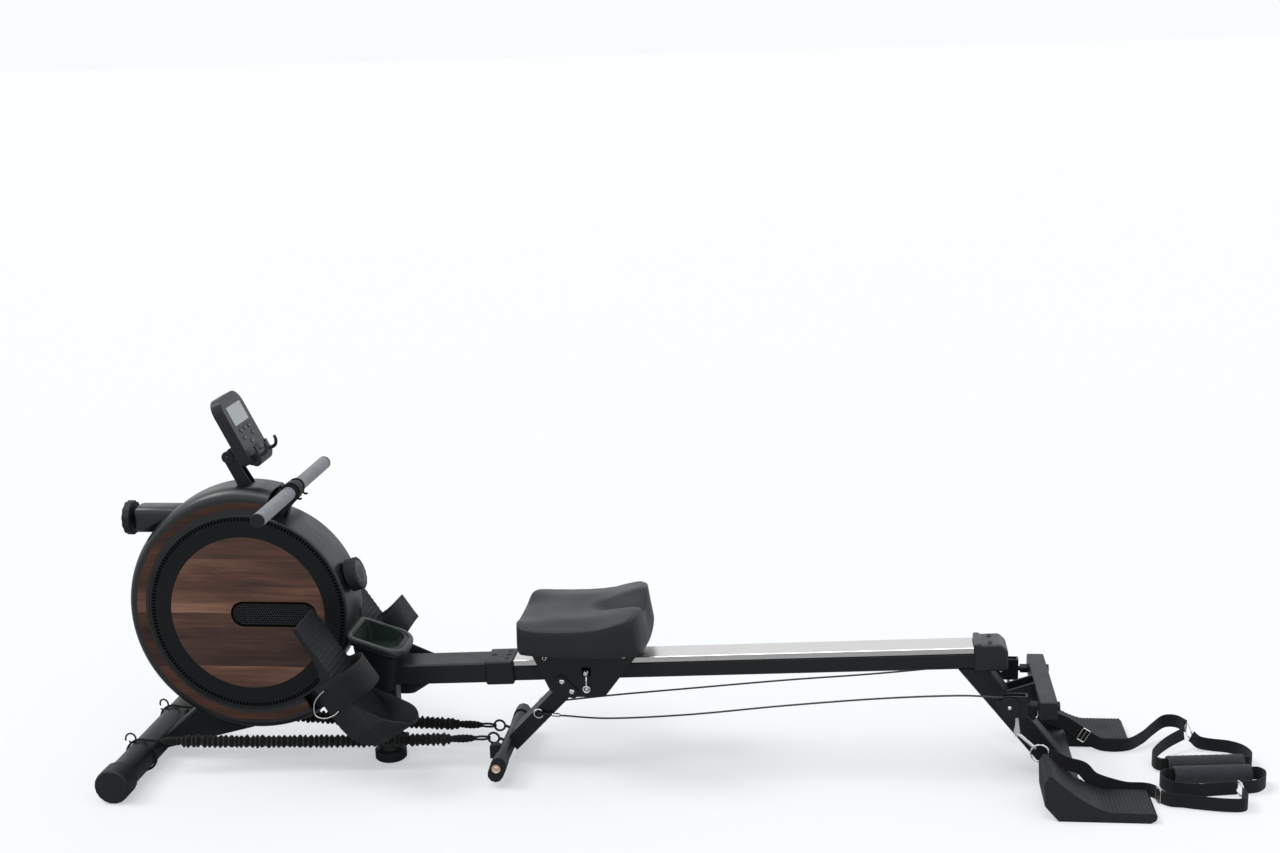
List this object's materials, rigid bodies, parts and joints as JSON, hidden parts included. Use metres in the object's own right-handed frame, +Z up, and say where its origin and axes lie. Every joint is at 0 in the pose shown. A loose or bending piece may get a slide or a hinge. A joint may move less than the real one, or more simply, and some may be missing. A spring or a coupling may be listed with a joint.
{
  "type": "magnetic_rowing_machine",
  "caption": "Magnetic rowing machine with a wood-trimmed drum, sliding seat, elastic cords and rear pull cables with hand grips.",
  "frame": {"origin": "Floor point under the middle of the centre foot, on the machine's plane of symmetry.", "axes": "+X runs to the rear of the machine along the floor, +Y to the rower's right, +Z up."},
  "size_m": [2.3026, 0.5, 0.7836],
  "materials": {
    "powder_coat": "satin",
    "moulding": "satin",
    "cover_black": "matte",
    "walnut": "satin",
    "steel": "satin",
    "chrome": "polished",
    "cast_iron": "matte",
    "foam": "matte",
    "rubber": "matte",
    "seat_foam": "satin",
    "webbing": "matte",
    "cable": "satin",
    "holder_green": "satin",
    "console_black": "satin"
  },
  "bodies": {
    "frame": {"bottle_holder": "holder_green", "bungee_left": "webbing", "bungee_right": "webbing", "centre_foot": "rubber", "console_post": "powder_coat", "drum_shell_left": "moulding", "drum_shell_right": "moulding", "flywheel_fork": "powder_coat", "foot_plate_left": "rubber", "foot_plate_right": "rubber", "front_frame": "powder_coat", "front_stabiliser": "powder_coat", "front_strut": "powder_coat", "hand_grip_left": "rubber", "hand_grip_right": "rubber", "handle_rest": "rubber", "magnet_brake": "powder_coat", "nose_tube": "moulding", "pull_strap": "webbing", "rail": "powder_coat", "rail_end_cap": "moulding", "rail_sleeve": "powder_coat", "rail_strip": "steel", "rear_strap_left": "webbing", "rear_strap_right": "webbing", "rear_support": "powder_coat", "side_cover_left": "cover_black", "side_cover_right": "cover_black", "stabiliser_cap_left": "rubber", "stabiliser_cap_right": "rubber", "steel_cable_left": "cable", "steel_cable_right": "cable", "wood_disc_left": "walnut", "wood_disc_right": "walnut", "wood_trim_left": "walnut", "wood_trim_right": "walnut"},
    "flywheel": {"flywheel": "cast_iron"},
    "strap_spool": {"strap_spool": "moulding"},
    "seat": {"seat_cushion": "seat_foam", "seat_carriage": "powder_coat", "seat_arm": "powder_coat"},
    "front_rollers": {"front_rollers": "rubber"},
    "rear_rollers": {"rear_rollers": "rubber"},
    "lock_pin": {"lock_pin": "chrome"},
    "handle": {"handlebar": "rubber", "handle_grip_left": "foam", "handle_grip_right": "foam"},
    "console": {"console": "console_black"},
    "resistance_dial": {"resistance_dial": "rubber"},
    "clamp_knob": {"clamp_knob": "rubber"},
    "pedal_left": {"pedal_left": "rubber", "pedal_strap_left": "webbing"},
    "pedal_right": {"pedal_right": "rubber", "pedal_strap_right": "webbing"},
    "pulley_left": {"pulley_bracket_left": "powder_coat", "snap_hook_left": "chrome"},
    "pulley_right": {"pulley_bracket_right": "powder_coat", "snap_hook_right": "chrome"},
    "wheel_left": {"pulley_wheel_left": "moulding"},
    "wheel_right": {"pulley_wheel_right": "moulding"}
  },
  "joints": [
    {"name": "seat_slide", "type": "slide", "parent": "frame", "child": "seat", "axis": [0.9991, 0, 0.043], "range_m": [0, 0.62], "deforming": ["steel_cable_left", "steel_cable_right", "bungee_left", "bungee_right"]},
    {"name": "front_roller_spin", "type": "hinge", "parent": "seat", "child": "front_rollers", "pos_m": [0.345, 0, 0.24655], "axis": [0, 1, 0], "continuous": true},
    {"name": "rear_roller_spin", "type": "hinge", "parent": "seat", "child": "rear_rollers", "pos_m": [0.506, 0, 0.25347], "axis": [0, 1, 0], "continuous": true},
    {"name": "lock_pin_pull", "type": "slide", "parent": "seat", "child": "lock_pin", "axis": [0, -1, 0], "range_m": [0, 0.022]},
    {"name": "handle_pull", "type": "slide", "parent": "frame", "child": "handle", "axis": [1, 0, 0], "range_m": [0, 0.9], "stiffness_N_per_m": 6, "springref_m": -1.5, "deforming": ["pull_strap"]},
    {"name": "spool_spin", "type": "hinge", "parent": "frame", "child": "strap_spool", "pos_m": [-0.265, 0, 0.336], "axis": [0, 1, 0], "continuous": true},
    {"name": "flywheel_spin", "type": "hinge", "parent": "frame", "child": "flywheel", "pos_m": [-0.265, 0, 0.336], "axis": [0, 1, 0], "continuous": true},
    {"name": "console_tilt", "type": "hinge", "parent": "frame", "child": "console", "pos_m": [-0.294, 0, 0.654], "axis": [0, 1, 0], "range_deg": [-12, 20]},
    {"name": "dial_turn", "type": "hinge", "parent": "frame", "child": "resistance_dial", "pos_m": [-0.06472, 0, 0.39915], "axis": [0.9537, 0, 0.3007], "range_deg": [0, 270]},
    {"name": "clamp_turn", "type": "hinge", "parent": "frame", "child": "clamp_knob", "pos_m": [-0.504, 0, 0.523], "axis": [1, 0, 0], "continuous": true},
    {"name": "pedal_tilt_left", "type": "hinge", "parent": "frame", "child": "pedal_left", "pos_m": [-0.033, -0.075, 0.185], "axis": [0, 1, 0], "range_deg": [-12, 12]},
    {"name": "pulley_swivel_left", "type": "hinge", "parent": "frame", "child": "pulley_left", "pos_m": [1.297, -0.098, 0.18], "axis": [1, 0, 0], "range_deg": [-20, 20]},
    {"name": "wheel_spin_left", "type": "hinge", "parent": "pulley_left", "child": "wheel_left", "pos_m": [1.262, -0.098, 0.18], "axis": [0, 1, 0], "continuous": true},
    {"name": "pedal_tilt_right", "type": "hinge", "parent": "frame", "child": "pedal_right", "pos_m": [-0.033, 0.075, 0.185], "axis": [0, 1, 0], "range_deg": [-12, 12]},
    {"name": "pulley_swivel_right", "type": "hinge", "parent": "frame", "child": "pulley_right", "pos_m": [1.297, 0.098, 0.18], "axis": [1, 0, 0], "range_deg": [-20, 20]},
    {"name": "wheel_spin_right", "type": "hinge", "parent": "pulley_right", "child": "wheel_right", "pos_m": [1.262, 0.098, 0.18], "axis": [0, 1, 0], "continuous": true}
  ],
  "couplings": [
    {"joint": "front_roller_spin", "follows": "seat_slide", "rad_per_m": 83.333},
    {"joint": "rear_roller_spin", "follows": "seat_slide", "rad_per_m": 83.333},
    {"joint": "spool_spin", "follows": "handle_pull", "rad_per_m": -33.333}
  ]
}
